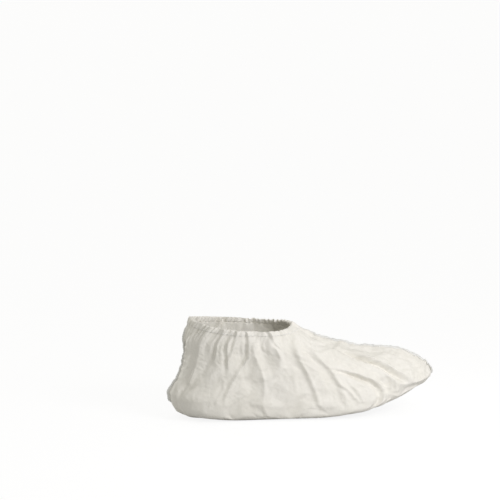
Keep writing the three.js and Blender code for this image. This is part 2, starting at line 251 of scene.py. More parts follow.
# Light and floor, in metres
SKY_COLOUR, SKY_STRENGTH = (1.0, 0.985, 0.93), 0.58
KEY_COLOUR, KEY_POWER, KEY_SIZE = (0.995, 0.985, 1.02), 2.65, 0.34
KEY_PLACE, KEY_AIM = (0.34, -0.55, 0.43), (0.03, -0.04, 0.05)
FILL_COLOUR, FILL_STRENGTH, FILL_ANGLE = (1.0, 0.99, 0.96), 1.0, math.radians(30)
FILL_TOWARDS = (0.40, -0.85, -0.15)
FLOOR_COLOUR = (0.62, 0.62, 0.62)
FLOOR_WHITENING, FLOOR_WHITE = 0.75, 1.16  # share of white that the camera sees, and its strength
FLOOR_ROUGHNESS = 0.9
FLOOR_REACH, FLOOR_DROP = 14.0, 0.0004

# Camera: the photograph's angle to the cover, and the pixel of the cover's origin in its frame
PHOTO_SIZE = 500
ORIGIN_PIXEL = (300.0, 412.0)
CAMERA_AZIMUTH, CAMERA_ELEVATION = math.radians(-12), math.radians(12)
CAMERA_DISTANCE = 3.21
LENS, SENSOR = 195.0, 36.0
AIM_ROUNDS = 12  # enough for the aim to settle


def rows_of(columns, rows):
    """A table's rows as dictionaries under its named columns."""
    return [dict(zip(columns, row)) for row in rows]


def smooth(low, high, value):
    u = np.clip((value - low) / (high - low), 0, 1)
    return u * u * (3 - 2 * u)


def toe_spring(x):
    share = np.maximum(0, (x - SPRING_START) / (SPRING_END - SPRING_START))
    return SPRING_RISE * share**SPRING_POWER


def section_column(name, levels):
    """One column of the section table at any levels, on a smooth cubic through its rows."""
    known = np.array([row[0] for row in SECTIONS], float)
    values = np.array([row[SECTION_COLUMNS.index(name)] for row in SECTIONS], float)
    steps = np.diff(known)
    slopes = np.diff(values) / steps
    tangents = np.concatenate([slopes[:1], slopes, slopes[-1:]])[:-1]
    tangents[1:-1] = (slopes[:-1] * steps[1:] + slopes[1:] * steps[:-1]) / (steps[:-1] + steps[1:])
    row = np.clip(np.searchsorted(known, levels, side="right") - 1, 0, len(known) - 2)
    span = steps[row]
    u = (levels - known[row]) / span
    return (
        (2 * u**3 - 3 * u**2 + 1) * values[row]
        + (u**3 - 2 * u**2 + u) * span * tangents[row]
        + (3 * u**2 - 2 * u**3) * values[row + 1]
        + (u**3 - u**2) * span * tangents[row + 1]
    )


def end_rounding(distance, share):
    return np.sqrt(np.maximum(0, 1 - (1 - np.minimum(1, distance / share)) ** 2))


def near_side(shares, levels):
    """Points of the unfolded near side, a row for each level, and the length of each row."""
    s = {name: section_column(name, levels)[:, None] for name in SECTION_COLUMNS[1:]}
    along = (1 + np.cos(np.linspace(0, np.pi, SECTION_STEPS)))[None, :] / 2
    rounding = end_rounding(along, s["heel_round"]) * end_rounding(1 - along, s["toe_round"])
    half = s["heel_half"] + (s["ball_half"] - s["heel_half"]) * smooth(BALL_START, BALL_END, along)
    dip = (s["back_z"] + s["front_z"]) / 2 - s["side_z"]
    x = s["back_x"] + (s["front_x"] - s["back_x"]) * along
    y = -half * rounding
    z = s["back_z"] + (s["front_z"] - s["back_z"]) * along
    z = z - dip * np.maximum(0, 1 - (2 * along - 1) ** 2) ** SIDE_DIP_POWER
    steps = np.sqrt(np.diff(x) ** 2 + np.diff(y) ** 2 + np.diff(z) ** 2)
    run = np.concatenate([np.zeros((len(levels), 1)), np.cumsum(steps, axis=1)], axis=1)
    fanned = np.clip(shares + FAN * np.sin(np.pi * shares) * (1 - levels[:, None]), 0, 1)
    points = np.empty((len(levels), len(shares), 3))
    for row in range(len(levels)):
        wanted = fanned[row] * run[row, -1]
        for axis, values in enumerate((x, y, z)):
            points[row, :, axis] = np.interp(wanted, run[row], values[row])
    points[..., 2] += toe_spring(points[..., 0])
    return points, run[:, -1]


def outward(points):
    """Outward directions of a wall whose rows go up and whose columns go round from the instep."""
    along = np.roll(points, -1, axis=1) - np.roll(points, 1, axis=1)
    normals = np.cross(np.gradient(points, axis=0), along)
    return normals / np.linalg.norm(normals, axis=2, keepdims=True)


class Side:
    """Columns of one side of the wall, from the instep seam to the heel seam."""

    def __init__(self, levels, shares, lengths):
        self.levels, self.shares, self.lengths = levels, shares, lengths
        self.below_hem = ((1 - levels) * WALL_HEIGHT)[:, None]
        self.from_seam = np.minimum(shares, 1 - shares)

    def offset_from(self, line):
        """Millimetres from a line that has a share for each row, positive towards the heel."""
        return (self.shares[None, :] - line[:, None]) * self.lengths[:, None]


class Wall:
    """The wall of the cover on a grid. Columns go back along the near side, forward along the far."""

    def __init__(self, levels, half_columns):
        self.levels = np.asarray(levels, float)
        shares = np.arange(half_columns + 1) / half_columns
        points, lengths = near_side(shares, self.levels)
        self.unfolded = all_round(points, points * np.array([1, -1, 1]))
        self.normals = outward(self.unfolded)
        side = Side(self.levels, shares, lengths)
        folds = rows_of(FOLD_COLUMNS, FOLDS)
        near = folded_heights(side, folds, NEAR_SEED)
        far = folded_heights(side, varied(folds), FAR_SEED)
        self.heights = soften(all_round(near, far), SOFTEN_PASSES)
        self.heights *= smooth(0, FOLD_FREE_LEVEL, self.levels)[:, None]
        self.points = self.unfolded + self.normals * self.heights[..., None]


def all_round(near, far):
    """Joins the columns of the near side with those of the far side, which run back to the instep."""
    return np.concatenate([near, far[:, -2:0:-1]], axis=1)


def fold_profile(offset, fold):
    """Height of the sheet at a distance behind a fold's crest."""
    climb = np.clip(1 - offset / fold["flank"], 0, 1)
    flank = (fold["rise"] + fold["depth"]) * climb**FLANK_POWER - fold["depth"]
    front = fold["rise"] * np.clip(1 + offset / fold["front"], 0, 1)
    back = -fold["depth"] * smooth(0, 1, 1 - (offset - fold["flank"]) / fold["back"])
    lip = fold["lip"] * np.maximum(0, 1 - np.abs(offset) / LIP_WIDTH)
    return np.where(offset < 0, front, np.where(offset < fold["flank"], flank, back)) + lip


def varied(folds):
    """The folds of the far side, like those of the near side but not their mirror image."""
    draw = np.random.default_rng(FAR_SEED)
    out = []
    for fold in folds:
        shift = draw.normal(0, FAR_SHARE_SPREAD, 2)
        climb = draw.normal(0, FAR_LEVEL_SPREAD)
        strength = np.exp(draw.normal(0, FAR_STRENGTH_SPREAD))
        change = {"from_share": fold["from_share"] + shift[0], "to_share": fold["to_share"] + shift[1]}
        change.update({name: fold[name] + climb for name in ("from_level", "to_level")})
        change.update({name: fold[name] * strength for name in ("rise", "depth", "lip")})
        out.append({**fold, **change})
    return out


def fold_heights(side, folds):
    total = 0
    for fold in folds:
        along = (side.levels - fold["to_level"]) / (fold["from_level"] - fold["to_level"])
        line = fold["to_share"] + (fold["from_share"] - fold["to_share"]) * along
        line = line + fold["bow"] * 4 * along * (1 - along)
        ends = smooth(0, FOLD_FADE, along) * smooth(0, FOLD_FADE, 1 - along)
        total = total + fold_profile(side.offset_from(line), fold) * ends[:, None]
    return total


def toe_edge_heights(side):
    """A crest round the toe box, under which the sheet turns in towards the sole."""
    level = np.interp(side.shares, TOE_EDGE_SHARES, TOE_EDGE_LEVELS)
    above = (side.levels[:, None] - level) * WALL_HEIGHT
    over = TOE_EDGE_RISE * np.clip(1 - above / TOE_EDGE_WIDTH, 0, 1)
    turned_in = np.sin(np.pi / 2 * np.clip(-above / TOE_UNDER_WIDTH, 0, 1))
    under = TOE_EDGE_RISE - (TOE_EDGE_RISE + TOE_UNDER_DEPTH) * turned_in
    fade = smooth(0, TOE_EDGE_FADE, TOE_EDGE_SHARES[-1] - side.shares)
    return fade * np.where(above > 0, over, under)


def drag_lean(share):
    """How far the drag of the sheet leans to the heel on its way down, in radians."""
    return np.interp(share, DRAG_SHARES, DRAG_LEANS)


def puff_heights(side, draw):
    """Rounded puffs along the hem with sharp valleys between them, which die out along the drag."""
    edges = np.arange(PUFFS_PER_SIDE + 1) + draw.uniform(-PUFF_JITTER, PUFF_JITTER, PUFFS_PER_SIDE + 1)
    edges[0], edges[-1] = 0, PUFFS_PER_SIDE
    depth = draw.uniform(*PUFF_DEPTH, len(edges))
    depth[0] = depth[-1] = PUFF_DEPTH[0]
    reach = draw.uniform(*PUFF_REACH, len(edges))
    drag = np.tan(drag_lean(side.shares)) * side.below_hem / side.lengths[:, None]
    place = np.clip(side.shares - drag, 0, 1) * PUFFS_PER_SIDE
    number = np.clip(np.searchsorted(edges, place) - 1, 0, PUFFS_PER_SIDE - 1)
    across = (place - edges[number]) / (edges[number + 1] - edges[number])
    valley = 1 - np.maximum(0, np.sin(np.pi * across)) ** PUFF_POWER
    fade = np.exp(-((side.below_hem / np.interp(place, edges, reach)) ** DRAG_FADE_POWER))
    return -np.interp(place, edges, depth) * valley * fade


def gather_heights(side, draw):
    """Valleys that run down from the hem along the drag and die out."""
    total = 0
    for kind in rows_of(GATHER_COLUMNS, GATHERS):
        for number in range(kind["per_side"]):
            place = (number + 0.5 + draw.uniform(-GATHER_JITTER, GATHER_JITTER)) / kind["per_side"]
            depth = draw.uniform(*kind["depth"])
            half_width = draw.uniform(*kind["half_width"])
            reach = draw.uniform(*kind["reach"])
            lean = draw.normal(drag_lean(place), kind["lean_spread"])
            offset = side.offset_from(place + math.tan(lean) * side.below_hem[:, 0] / side.lengths)
            spread = half_width * (1 + GATHER_SPREAD * side.below_hem / reach)
            valley = np.maximum(0, 1 - np.abs(offset) / spread)
            total = total - depth * valley * np.exp(-((side.below_hem / reach) ** DRAG_FADE_POWER))
    return total


def crease_heights(side, draw):
    """Straight creases, in and out, mostly along the drag of the sheet, that make it look like paper."""
    total = 0
    for kind in rows_of(CREASE_COLUMNS, CREASES):
        for _ in range(kind["per_side"]):
            share = draw.uniform(*CREASE_SHARES)
            level = draw.uniform(*CREASE_LEVELS)
            length = draw.uniform(*kind["length"])
            half_width = draw.uniform(*kind["half_width"])
            height = draw.uniform(*kind["height"]) * draw.choice((-1, 1))
            height = height * np.interp(share, CRINKLE_SHARES, CRINKLE_AMOUNTS)
            lean = draw.normal(drag_lean(share), kind["lean_spread"])
            across = side.offset_from(np.full(len(side.levels), share))
            down = ((level - side.levels) * WALL_HEIGHT)[:, None]
            run = (down * math.cos(lean) + across * math.sin(lean)) / length
            reach = (across * math.cos(lean) - down * math.sin(lean)) / half_width
            total = total + height * np.maximum(0, 1 - np.abs(reach)) * smooth(0, 1, 1 - np.abs(run))
    return total


def pucker_heights(side):
    """Short waves along the seams, where the stitching draws the sheet up."""
    down = side.below_hem
    wave = sum(part * np.sin(2 * np.pi * down / length + start) for length, part, start in PUCKER_WAVES)
    from_seam = side.from_seam[None, :] * side.lengths[:, None]
    return PUCKER_HEIGHT * wave * np.exp(-from_seam / PUCKER_REACH) * smooth(0, PUCKER_START, from_seam)


def pinch_heights(side):
    """The ridge that the instep seam pinches up."""
    height = np.interp(side.levels, PINCH_LEVELS, PINCH_HEIGHTS)[:, None]
    from_seam = side.shares[None, :] * side.lengths[:, None]
    return height * np.clip(1 - from_seam / PINCH_REACH, 0, 1) ** PINCH_POWER


def folded_heights(side, folds, seed):
    """How far one side of the folded sheet stands out from the unfolded wall."""
    draw = np.random.default_rng(seed)
    gathers = gather_heights(side, draw)
    heights = fold_heights(side, folds) + crease_heights(side, draw) + toe_edge_heights(side)
    gathers = gathers + puff_heights(side, draw)
    clear = smooth(0, SEAM_CLEAR_SHARE, side.from_seam)
    return heights * clear + pinch_heights(side) + pucker_heights(side) + gathers


def soften(heights, passes):
    """Rounds the creases a little with a running mean along the rows and round the columns."""
    for _ in range(passes):
        heights = (np.roll(heights, 1, axis=1) + 2 * heights + np.roll(heights, -1, axis=1)) / 4
        padded = np.concatenate([heights[:1], heights, heights[-1:]])
        heights = (padded[:-2] + 2 * heights + padded[2:]) / 4
    return heights


def loops_faces(rows, columns, first=0):
    """Quads that join each loop of a grid to the next, all round, facing out."""
    faces = []
    for row in range(rows - 1):
        for column in range(columns):
            a = first + row * columns + column
            b = first + row * columns + (column + 1) % columns
            faces.append((a, a + columns, b + columns, b))
    return faces


def new_object(name, data):
    """An object at the origin, in the scene."""
    made = bpy.data.objects.new(name, data)
    bpy.context.scene.collection.objects.link(made)
    return made


def mesh_object(name, points, faces, material):
    """A mesh of points in millimetres as an object at the origin."""
    mesh = bpy.data.meshes.new(name)
    mesh.from_pydata((np.asarray(points).reshape(-1, 3) * MM).tolist(), [], faces)
    mesh.shade_smooth()
    mesh.materials.append(material)
    return new_object(name, mesh)


# Settling of the sheet


def hold_weights(levels, points):
    """How firmly each point keeps its place: fully at the hem and the tread, and in patches between."""
    draw = np.random.default_rng(HOLD_SEED)
    pressed = np.zeros(points.shape[:2])
    for _ in range(HOLD_PATCHES):
        row, column = draw.integers(points.shape[0]), draw.integers(points.shape[1])
        away = np.linalg.norm(points - points[row, column], axis=2) / draw.uniform(*HOLD_PATCH_SIZE)
        pressed = np.maximum(pressed, np.exp(-(away**2)))
    tread = 1 - smooth(0.0, HELD_TREAD + HELD_TREAD_PRESSED * pressed, levels[:, None])
    hem = smooth(*HELD_HEM, levels)[:, None]
    between = HOLD_LEAST + (HOLD_MOST - HOLD_LEAST) * pressed
    return np.maximum(between, np.maximum(tread, hem))


def settled(wall):
    """Where the sheet's points settle: a little spare cloth buckles between the hem and the sole."""
    coarse = wall.points[::SETTLE_STEP, ::SETTLE_STEP]
    rows, columns = coarse.shape[:2]
    cloth = mesh_object("settling", coarse, loops_faces(rows, columns), None)
    hold = cloth.vertex_groups.new(name="hold")
    for number, weight in enumerate(hold_weights(wall.levels[::SETTLE_STEP], coarse).ravel()):
        hold.add([number], float(weight), "REPLACE")
    settings = cloth.modifiers.new("settling", "CLOTH").settings
    settings.vertex_group_mass = "hold"
    for name, value in CLOTH_SETTINGS.items():
        setattr(settings, name, value)
    scene = bpy.context.scene
    for number in range(1, SETTLE_FRAMES + 1):
        scene.frame_set(number)
    graph = bpy.context.evaluated_depsgraph_get()
    result = cloth.evaluated_get(graph).to_mesh()
    flat = np.empty(len(result.vertices) * 3, np.float32)
    result.vertices.foreach_get("co", flat)
    moved = flat.reshape(coarse.shape).astype(float) / MM - coarse
    scene.frame_set(1)
    bpy.data.objects.remove(cloth)
    far = np.linalg.norm(moved, axis=2, keepdims=True)
    moved = moved * np.minimum(1, SETTLE_CAP / np.maximum(far, 1e-6))
    return wall.points + spread_between(moved, wall.points.shape)


def spread_between(moved, shape):
    """Moves of the simulated points, shared out to the finer grid between them."""
    rows, columns = shape[:2]
    coarse_rows = np.arange(moved.shape[0]) * SETTLE_STEP
    coarse_columns = np.arange(moved.shape[1] + 1) * SETTLE_STEP
    wrapped = np.concatenate([moved, moved[:, :1]], axis=1)
    by_row = np.empty((rows, wrapped.shape[1], 3))
    for column in range(wrapped.shape[1]):
        for axis in range(3):
            by_row[:, column, axis] = np.interp(np.arange(rows), coarse_rows, wrapped[:, column, axis])
    out = np.empty(shape)
    for row in range(rows):
        for axis in range(3):
            out[row, :, axis] = np.interp(np.arange(columns), coarse_columns, by_row[row, :, axis])
    return out


# Pieces


def sole_points(edge, lift):
    """Loops of the sole, from the fold along its middle out towards the edge of the tread."""
    loops = []
    for level in np.linspace(-1, 0, SOLE_ROWS, endpoint=False):
        x = edge[:, 0] * (1 + level * (1 - SPINE_SHRINK))
        y = edge[:, 1] * (1 + level)
        loops.append(np.stack([x, y, toe_spring(x) + lift], axis=1))
    return np.array(loops)


def wrinkled(wall, points):
    """The sheet's points with the fine ridges of crumpled paper, highest at the toe."""
    columns = points.shape[1]
    share = 1 - np.abs(1 - np.arange(columns) / (columns / 2))
    height = np.interp(share, CRINKLE_SHARES, WRINKLE_HEIGHTS)[None, :]
    height = height * smooth(*WRINKLE_FOOT, wall.levels)[:, None]
    height = height * (1 - smooth(*WRINKLE_TOP, wall.levels))[:, None]
    noise.seed_set(WRINKLE_SEED)
    ridges = []
    for point in points.reshape(-1, 3) / WRINKLE_SIZE:
        place = Vector(point) + noise.noise_vector(point / WRINKLE_WARP_SIZE) * WRINKLE_WARP
        ridges.append(noise.ridged_multi_fractal(place, *WRINKLE_FRACTAL))
    ridges = np.array(ridges).reshape(points.shape[:2])
    return points + outward(points) * (height * (ridges - ridges.mean()))[..., None]


def inner_face(points):
    """The sheet's inner face: rounder than the outer one, and under it in the sharpest valleys too."""
    rounded = soften(points, INNER_PASSES)
    normals = outward(rounded)
    dip = np.sum((rounded - points) * normals, axis=2)
    for axis in (0, 1):
        dip = np.max([np.roll(dip, step, axis) for step in range(-INNER_STEP, INNER_STEP + 1)], axis=0)
    return rounded - normals * (SHEET_THICKNESS + np.maximum(0, dip))[..., None]


def make_sheet(points, material):
    """The nonwoven sheet as a thin shell, open at the hem, finer outside than inside."""
    inner = inner_face(points)[::INNER_STEP, ::INNER_STEP]
    inner[0] = points[0, ::INNER_STEP] + np.array([0, 0, SHEET_THICKNESS])
    outside = np.concatenate([sole_points(points[0], 0), points])
    inside = np.concatenate([sole_points(points[0, ::INNER_STEP], SHEET_THICKNESS), inner])
    faces = loops_faces(*outside.shape[:2])
    first = outside.shape[0] * outside.shape[1]
    faces += [face[::-1] for face in loops_faces(*inside.shape[:2], first)]
    faces += edge_faces(outside.shape, inside.shape)
    both = np.concatenate([outside.reshape(-1, 3), inside.reshape(-1, 3)])
    sheet = mesh_object("nonwoven_sheet", both, faces, material)
    rework(sheet, merge_doubles)
    return sheet


def edge_faces(outside, inside):
    """Closes the top edge, with two steps of the outer loop to each step of the inner one."""
    outer, inner = (outside[0] - 1) * outside[1], outside[0] * outside[1] + (inside[0] - 1) * inside[1]
    faces = []
    for column in range(inside[1]):
        a, b, c = (outer + (column * INNER_STEP + step) % outside[1] for step in range(3))
        d, e = inner + column, inner + (column + 1) % inside[1]
        faces += [(a, d, b), (b, d, e), (b, e, c)]
    return faces


def rework(piece, change):
    """Changes a piece's mesh with a function of its bmesh."""
    work = bmesh.new()
    work.from_mesh(piece.data)
    change(work)
    work.to_mesh(piece.data)
    work.free()


def merge_doubles(work):
    bmesh.ops.remove_doubles(work, verts=work.verts, dist=MERGE_DISTANCE * MM)


def outward_faces(work):
    bmesh.ops.recalc_face_normals(work, faces=work.faces)


def make_hem(material):
    """The turned-over top of the sheet, puffed out by the elastic and finely ruffled."""
    rise = np.linspace(0, 1, HEM_ROWS)
    levels = HEM_FOOT_LEVEL + (1 - HEM_FOOT_LEVEL) * rise
    wall = Wall(levels, HEM_HALF_COLUMNS)
    puff = HEM_FOOT_OFFSET + HEM_PUFF * np.sin(np.pi * rise) ** HEM_PUFF_POWER
    outside = wall.points + wall.normals * puff[:, None, None]
    inside = wall.points - wall.normals * (SHEET_THICKNESS + puff)[:, None, None]
    loops = np.concatenate([outside, inside[::-1], outside[:1]])
    rows, columns = loops.shape[:2]
    hem = mesh_object("gathered_hem", loops, loops_faces(rows, columns), material)
    rework(hem, merge_doubles)
    foot = wall.points[1] + wall.normals[1] * (puff[1] + HEM_FOOT_OFFSET)
    return hem, foot, wall.normals[1]


def seam_stretch(seam, wall, points):
    """The sheet beside a seam, from the hem down: points, directions out and distances from it."""
    middle = seam["share"] * HALF_COLUMNS
    onwards = 1 if (seam["lies"] == "near") == (seam["share"] == 0) else -1
    columns = (middle + onwards * np.arange(SEAM_REACH_COLUMNS)) % points.shape[1]
    kept = (wall.levels <= seam["from_level"]) & (wall.levels >= seam["to_level"])
    beside = points[kept][::-1][:, columns]
    normals = outward(points)[kept][::-1][:, columns]
    steps = np.linalg.norm(np.diff(beside, axis=1), axis=2)
    distance = np.concatenate([np.zeros((len(steps), 1)), np.cumsum(steps, axis=1)], axis=1)
    return beside, normals, distance


def seam_line(seam, stretch, along, width, part, lift):
    """One line of a seam's surface, between lying on the sheet and standing up from it."""
    beside, normals, distance = stretch
    lying = np.empty((len(along), 3))
    for row, reach in enumerate(width * part):
        for axis in range(3):
            point = np.interp(reach, distance[row], beside[row, :, axis])
            out = np.interp(reach, distance[row], normals[row, :, axis])
            lying[row, axis] = point + out * lift[row]
    sideways = np.array([0, -1 if seam["lies"] == "near" else 1, 0])
    out = normals[:, 0] * math.cos(SEAM_STAND_LEAN) + sideways * math.sin(SEAM_STAND_LEAN)
    over = normals[:, 0] * math.sin(SEAM_STAND_LEAN) - sideways * math.cos(SEAM_STAND_LEAN)
    standing = beside[:, 0] + out * (width * part)[:, None] + over * lift[:, None]
    stand = np.interp(along, np.linspace(0, 1, len(seam["stand"])), seam["stand"])[:, None]
    return lying * (1 - stand) + standing * stand


def waves(along, parts):
    return sum(strength * np.sin(along * angle + start) for strength, angle, start in parts)


def make_seam(seam, wall, points, material):
    """One overlocked seam, and the line, run and direction out of its edge for the threads."""
    stretch = seam_stretch(seam, wall, points)
    along = np.linspace(0, 1, len(stretch[0]))
    width = seam["hem_width"] + (seam["end_width"] - seam["hem_width"]) * along
    width = width * (1 + waves(along, SEAM_WIDTH_WAVES))
    width = width * np.sqrt(np.clip((1 - along) * len(along) / SEAM_TIP_ROWS, SEAM_TIP_LEAST, 1))
    ripple = SEAM_RIPPLE + waves(along, SEAM_RIPPLE_WAVES)
    lines = []
    for part, lift in SEAM_SECTION:
        lines.append(seam_line(seam, stretch, along, width, part, lift + ripple * max(0, part)))
    loops = np.stack(lines, axis=1)
    count = len(SEAM_SECTION)
    faces = loops_faces(len(loops), count)
    faces.append(tuple(range(count)))
    faces.append(tuple(range((len(loops) - 1) * count, len(loops) * count)))
    rib = mesh_object(seam["name"] + "_rib", loops, faces, material)
    rework(rib, outward_faces)
    lift = SEAM_EDGE_LIFT + ripple
    edge = seam_line(seam, stretch, along, width, 1.0, lift)
    out = edge - seam_line(seam, stretch, along, width, 0.5, lift)
    return rib, edge, np.gradient(edge, axis=0), out


# Stitches


def add_nodes(tree, **kinds):
    return {name: tree.nodes.new(kind) for name, kind in kinds.items()}


def preset(nodes, *rows):
    """Sets inputs of named nodes. A row has a node, its socket and the value."""
    for name, socket, value in rows:
        nodes[name].inputs[socket].default_value = value


def connect(tree, nodes, *rows):
    """Links named nodes. A row has a node, its output, the next node and its input."""
    for source, output, target, socket in rows:
        tree.links.new(nodes[source].outputs[output], nodes[target].inputs[socket])


def stitch_tree():
    """Places one bent thread on each even step of a line that carries its directions along and out."""
    tree = bpy.data.node_groups.new("thread_stitches", "GeometryNodeTree")
    face = tree.interface
    face.new_socket("Line", in_out="INPUT", socket_type="NodeSocketGeometry")
    for name in ("Pitch", "Thread"):
        face.new_socket(name, in_out="INPUT", socket_type="NodeSocketFloat")
    for name in THREAD_POINTS:
        face.new_socket(name, in_out="INPUT", socket_type="NodeSocketVector")
    face.new_socket("Material", in_out="INPUT", socket_type="NodeSocketMaterial")
    face.new_socket("Stitches", in_out="OUTPUT", socket_type="NodeSocketGeometry")
    n = add_nodes(
        tree,
        inputs="NodeGroupInput",
        curve="GeometryNodeMeshToCurve",
        steps="GeometryNodeResampleCurve",
        along="GeometryNodeInputNamedAttribute",
        out="GeometryNodeInputNamedAttribute",
        turn="FunctionNodeAlignRotationToVector",
        roll="FunctionNodeAlignRotationToVector",
        vary="FunctionNodeRandomValue",
        thread="GeometryNodeCurvePrimitiveBezierSegment",
        round="GeometryNodeCurvePrimitiveCircle",
        bent="GeometryNodeCurveToMesh",
        place="GeometryNodeInstanceOnPoints",
        real="GeometryNodeRealizeInstances",
        even="GeometryNodeSetShadeSmooth",
        finish="GeometryNodeSetMaterial",
        outputs="NodeGroupOutput",
    )
    n["steps"].mode = "LENGTH"
    n["along"].data_type = n["out"].data_type = "FLOAT_VECTOR"
    n["turn"].axis = "X"
    n["roll"].axis = "Z"
    n["roll"].pivot_axis = "X"
    n["vary"].data_type = "FLOAT"
    preset(
        n,
        ("along", "Name", "along"),
        ("out", "Name", "out"),
        ("vary", 2, STITCH_SCALES[0]),
        ("vary", 3, STITCH_SCALES[1]),
        ("vary", "Seed", STITCH_SEED),
        ("thread", "Resolution", THREAD_STEPS),
        ("round", "Resolution", THREAD_SIDES),
        ("bent", "Fill Caps", True),
    )
    connect(
        tree,
        n,
        ("inputs", "Line", "curve", "Mesh"),
        ("curve", "Curve", "steps", "Curve"),
        ("inputs", "Pitch", "steps", "Length"),
        ("along", "Attribute", "turn", "Vector"),
        ("turn", "Rotation", "roll", "Rotation"),
        ("out", "Attribute", "roll", "Vector"),
        *(("inputs", name, "thread", name) for name in THREAD_POINTS),
        ("inputs", "Thread", "round", "Radius"),
        ("thread", "Curve", "bent", "Curve"),
        ("round", "Curve", "bent", "Profile Curve"),
        ("steps", "Curve", "place", "Points"),
        ("bent", "Mesh", "place", "Instance"),
        ("roll", "Rotation", "place", "Rotation"),
        ("vary", 1, "place", "Scale"),
        ("place", "Instances", "real", "Geometry"),
        ("real", "Geometry", "even", "Geometry"),
        ("even", "Geometry", "finish", "Geometry"),
        ("inputs", "Material", "finish", "Material"),
        ("finish", "Geometry", "outputs", "Stitches"),
    )
    return tree


def stitch_values(pitch, thread, start, handle, finish):
    """Inputs of the stitch tree for a thread whose end mirrors its start."""
    mirrored = [(-x, -y, z) for x, y, z in (handle, start)]
    points = dict(zip(THREAD_POINTS, (start, handle, *mirrored)))
    return {"Pitch": pitch, "Thread": thread, "Material": finish, **points}


def make_stitches(name, tree, line, along, out, closed, values):
    """A row of stitches on a line in millimetres, as a plain mesh."""
    count = len(line)
    mesh = bpy.data.meshes.new(name)
    edges = [(i, i + 1) for i in range(count - 1)]
    if closed:
        edges.append((count - 1, 0))
    mesh.from_pydata((line * MM).tolist(), edges, [])
    for key, vectors in (("along", along), ("out", out)):
        attribute = mesh.attributes.new(key, "FLOAT_VECTOR", "POINT")
        attribute.data.foreach_set("vector", np.asarray(vectors, np.float32).ravel())
    piece = new_object(name, mesh)
    modifier = piece.modifiers.new("stitches", "NODES")
    modifier.node_group = tree
    for socket in tree.interface.items_tree:
        if socket.in_out == "INPUT" and socket.name in values:
            modifier[socket.identifier] = values[socket.name]
    graph = bpy.context.evaluated_depsgraph_get()
    made = bpy.data.meshes.new_from_object(piece.evaluated_get(graph))
    piece.modifiers.clear()
    piece.data = made
    bpy.data.meshes.remove(mesh)
    made.name = name
    for key in ("along", "out"):
        if key in made.attributes:
            made.attributes.remove(made.attributes[key])
    return piece


# Materials


def web_group():
    """Swirling fibres and soft crumples of a bonded web: a tone, a fibre mask and a tilted normal."""
    tree = bpy.data.node_groups.new("bonded_web", "ShaderNodeTree")
    face = tree.interface
    for name, value in WEB_INPUTS:
        socket = face.new_socket(name, in_out="INPUT", socket_type="NodeSocketFloat")
        socket.default_value = value
    for name in ("Tone", "Fibre"):
        face.new_socket(name, in_out="OUTPUT", socket_type="NodeSocketFloat")
    face.new_socket("Facets", in_out="OUTPUT", socket_type="NodeSocketVector")
    n = add_nodes(
        tree,
        inputs="NodeGroupInput",
        place="ShaderNodeTexCoord",
        surface="ShaderNodeNewGeometry",
        warp="ShaderNodeTexNoise",
        bend="ShaderNodeVectorMath",
        shift="ShaderNodeVectorMath",
        facet="ShaderNodeTexVoronoi",
        centre="ShaderNodeVectorMath",
        tilt="ShaderNodeVectorMath",
        lean="ShaderNodeVectorMath",
        unit="ShaderNodeVectorMath",
        fibre="ShaderNodeTexNoise",
        strand="ShaderNodeMapRange",
        cloud="ShaderNodeTexNoise",
        tone="ShaderNodeMath",
        outputs="NodeGroupOutput",
    )
    n["bend"].operation = n["tone"].operation = "MULTIPLY_ADD"
    n["shift"].operation = n["lean"].operation = "ADD"
    n["centre"].operation = "SUBTRACT"
    n["tilt"].operation = "SCALE"
    n["unit"].operation = "NORMALIZE"
    n["fibre"].noise_type = "RIDGED_MULTIFRACTAL"
    preset(
        n,
        ("warp", "Scale", WARP_SCALE),
        ("warp", "Detail", 1),
        ("bend", 1, (WARP_REACH,) * 3),
        ("bend", 2, (-WARP_REACH / 2,) * 3),
        ("centre", 1, (0.5, 0.5, 0.5)),
        ("fibre", "Detail", FIBRE_DETAIL),
        ("fibre", "Offset", FIBRE_OFFSET),
        ("fibre", "Distortion", FIBRE_DISTORTION),
        ("strand", "From Max", FIBRE_TOP),
        ("cloud", "Detail", CLOUD_DETAIL),
        ("tone", 1, FIBRE_TONE),
    )
    connect(
        tree,
        n,
        ("place", "Object", "warp", "Vector"),
        ("warp", "Color", "bend", 0),
        ("bend", "Vector", "shift", 0),
        ("place", "Object", "shift", 1),
        ("shift", "Vector", "facet", "Vector"),
        ("inputs", "Facet Scale", "facet", "Scale"),
        ("facet", "Color", "centre", 0),
        ("centre", "Vector", "tilt", 0),
        ("inputs", "Facet Tilt", "tilt", "Scale"),
        ("tilt", "Vector", "lean", 0),
        ("surface", "Normal", "lean", 1),
        ("lean", "Vector", "unit", 0),
        ("place", "Object", "fibre", "Vector"),
        ("place", "Object", "cloud", "Vector"),
        ("inputs", "Fibre Scale", "fibre", "Scale"),
        ("inputs", "Cloud Scale", "cloud", "Scale"),
        ("fibre", "Fac", "strand", "Value"),
        ("strand", "Result", "tone", 0),
        ("cloud", "Fac", "tone", 2),
        ("tone", "Value", "outputs", "Tone"),
        ("strand", "Result", "outputs", "Fibre"),
        ("unit", "Vector", "outputs", "Facets"),
    )
    return tree


def new_material(name, **kinds):
    """A material, its tree, and its nodes by name with its own shader and output among them."""
    material = bpy.data.materials.new(name)
    material.use_nodes = True
    tree = material.node_tree
    nodes = add_nodes(tree, **kinds)
    nodes["shader"] = tree.nodes["Principled BSDF"]
    nodes["output"] = tree.nodes["Material Output"]
    return material, tree, nodes


